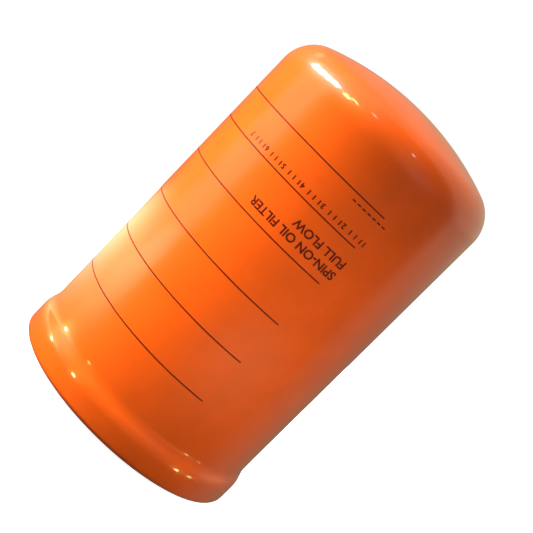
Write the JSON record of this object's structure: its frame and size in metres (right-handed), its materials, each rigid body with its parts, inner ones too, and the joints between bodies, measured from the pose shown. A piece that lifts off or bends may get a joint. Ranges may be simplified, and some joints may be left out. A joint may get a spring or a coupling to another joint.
{
  "type": "spin-on oil filter",
  "caption": "Spin-on oil filter: glossy painted domed steel can with a rolled seam, gasket, threaded plate, pleated element and sprung bypass and drain-back valves.",
  "frame": {"origin": "centre of the gasket's sealing face, on the axis, the lowest point of the filter as it stands on its open end", "axes": "+Z along the axis from the open, threaded end towards the closed dome"},
  "size_m": [0.096, 0.096, 0.1529],
  "materials": {
    "orange_paint": "gloss",
    "zinc_plate": "satin",
    "plate_steel": "satin",
    "tinned_sheet": "satin",
    "spring_steel": "satin",
    "gasket_rubber": "matte",
    "valve_rubber": "matte",
    "seam_compound": "matte",
    "potting_resin": "matte",
    "hot_melt": "satin",
    "filter_paper": "matte"
  },
  "bodies": {
    "can": {"can_shell": "orange_paint", "seam_lid": "zinc_plate", "seam_sealant": "seam_compound", "mounting_gasket": "gasket_rubber", "thread_plate": "plate_steel", "drainback_cuff": "valve_rubber", "support_spring": "spring_steel"},
    "drainback_valve": {"drainback_flap": "valve_rubber"},
    "element": {"inlet_end_cap": "tinned_sheet", "dome_end_cap": "tinned_sheet", "inlet_potting": "potting_resin", "dome_potting": "potting_resin", "pleated_media": "filter_paper", "media_seam_clip": "tinned_sheet", "pleat_beads": "hot_melt", "centre_tube": "tinned_sheet", "bypass_cage": "zinc_plate", "bypass_seat": "zinc_plate", "bypass_spring": "spring_steel", "spring_seat": "zinc_plate"},
    "bypass_valve": {"bypass_poppet": "zinc_plate", "bypass_poppet_seal": "gasket_rubber"}
  },
  "joints": [
    {"name": "element_float", "type": "slide", "parent": "can", "child": "element", "axis": [0, 0, 1], "range_m": [0, 0.002], "stiffness_N_per_m": 4000, "springref_m": -0.015, "deforming": ["support_spring"]},
    {"name": "drainback_lift", "type": "slide", "parent": "can", "child": "drainback_valve", "axis": [0, 0, 1], "range_m": [0, 0.0012], "stiffness_N_per_m": 300, "springref_m": -0.001},
    {"name": "bypass_lift", "type": "slide", "parent": "element", "child": "bypass_valve", "axis": [0, 0, -1], "range_m": [0, 0.0035], "stiffness_N_per_m": 1500, "springref_m": -0.012, "deforming": ["bypass_spring"]}
  ]
}
